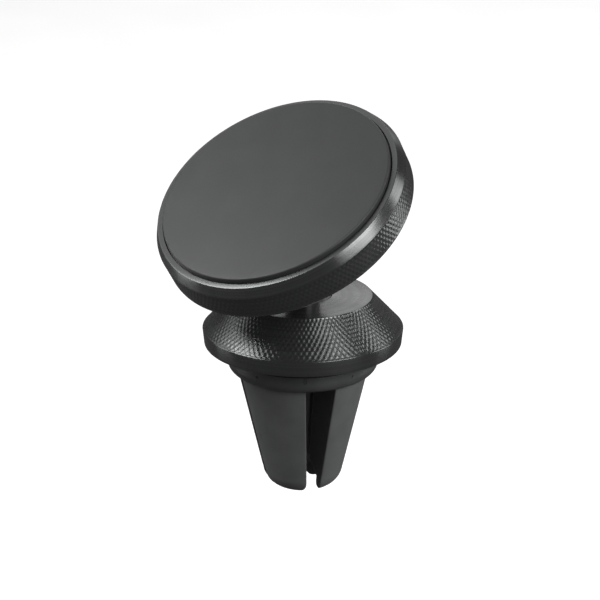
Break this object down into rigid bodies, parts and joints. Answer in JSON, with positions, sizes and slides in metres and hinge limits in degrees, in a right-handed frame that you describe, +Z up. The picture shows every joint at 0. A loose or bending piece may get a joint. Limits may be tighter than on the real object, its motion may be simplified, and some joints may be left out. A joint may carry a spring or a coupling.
{
  "type": "car phone mount",
  "caption": "Magnetic air-vent phone mount: a round tilting magnet head with a soft pad on a ball joint, a knurled collar and a slotted vent clip with soft prongs.",
  "frame": {"origin": "on the clip's axis, at the floor of the vent slots between the prong roots", "axes": "+Z up the clip axis, from the prongs towards the head; the wide slot runs along Y and the narrow slot along X; the head leans towards -X and -Y at rest"},
  "size_m": [0.0391, 0.0401, 0.0619],
  "materials": {
    "silicone_pad": "fine matte, soft-touch",
    "adhesive": "tacky film",
    "moulded_black": "matte moulded",
    "magnet_nickel": "bright nickel plate",
    "zinc_steel": "zinc plated",
    "anodised_black": "black anodised, satin turned",
    "acetal": "natural acetal, smooth",
    "turned_steel": "turned and black nickel plated",
    "spring_steel": "plain spring steel",
    "nitrile": "smooth rubber",
    "clip_plastic": "matte moulded",
    "silicone_sleeve": "matte soft silicone"
  },
  "bodies": {
    "clip": {"clip_flange": "clip_plastic", "base_core": "moulded_black", "snap_ring": "spring_steel", "drag_ring": "nitrile", "core_screws": "zinc_steel"},
    "collar": {"base_collar": "anodised_black"},
    "stud": {"ball_stud": "turned_steel", "stud_nut": "zinc_steel", "lock_washer": "spring_steel", "thrust_washer": "acetal"},
    "socket": {"socket_liner": "acetal", "pressure_cup": "acetal"},
    "head": {"front_pad": "silicone_pad", "pad_adhesive": "adhesive", "magnet_carrier": "moulded_black", "magnet_1": "magnet_nickel", "magnet_2": "magnet_nickel", "magnet_3": "magnet_nickel", "magnet_4": "magnet_nickel", "magnet_5": "magnet_nickel", "magnet_6": "magnet_nickel", "back_yoke": "zinc_steel", "head_shell": "anodised_black", "socket_housing": "moulded_black", "housing_screws": "zinc_steel", "socket_plug": "moulded_black", "wave_spring": "spring_steel"},
    "prong_1": {"prong_core_1": "moulded_black", "prong_sleeve_1": "silicone_sleeve"},
    "prong_2": {"prong_core_2": "moulded_black", "prong_sleeve_2": "silicone_sleeve"},
    "prong_3": {"prong_core_3": "moulded_black", "prong_sleeve_3": "silicone_sleeve"},
    "prong_4": {"prong_core_4": "moulded_black", "prong_sleeve_4": "silicone_sleeve"}
  },
  "joints": [
    {"name": "stud_pan", "type": "hinge", "parent": "clip", "child": "stud", "pos_m": [0, 0, 0.02098], "axis": [0, 0, 1], "continuous": true},
    {"name": "head_tilt", "type": "hinge", "parent": "stud", "child": "socket", "pos_m": [0, 0, 0.02098], "axis": [0.5592, -0.829, 0], "range_deg": [-68.9, 3.1]},
    {"name": "head_spin", "type": "hinge", "parent": "socket", "child": "head", "pos_m": [0, 0, 0.02098], "axis": [-0.4503, -0.3037, 0.8396], "continuous": true},
    {"name": "collar_turn", "type": "hinge", "parent": "clip", "child": "collar", "pos_m": [0, 0, 0.0071], "axis": [0, 0, 1], "range_deg": [-40, 40]},
    {"name": "prong_flex_1", "type": "hinge", "parent": "clip", "child": "prong_1", "pos_m": [0.0046, 0.0046, 0.00165], "axis": [0.7071, -0.7071, 0], "range_deg": [-1.5, 3], "stiffness_Nm_per_rad": 3},
    {"name": "prong_flex_2", "type": "hinge", "parent": "clip", "child": "prong_2", "pos_m": [-0.0046, 0.0046, 0.00165], "axis": [0.7071, 0.7071, 0], "range_deg": [-1.5, 3], "stiffness_Nm_per_rad": 3},
    {"name": "prong_flex_3", "type": "hinge", "parent": "clip", "child": "prong_3", "pos_m": [-0.0046, -0.0046, 0.00165], "axis": [-0.7071, 0.7071, 0], "range_deg": [-1.5, 3], "stiffness_Nm_per_rad": 3},
    {"name": "prong_flex_4", "type": "hinge", "parent": "clip", "child": "prong_4", "pos_m": [0.0046, -0.0046, 0.00165], "axis": [-0.7071, -0.7071, 0], "range_deg": [-1.5, 3], "stiffness_Nm_per_rad": 3}
  ]
}
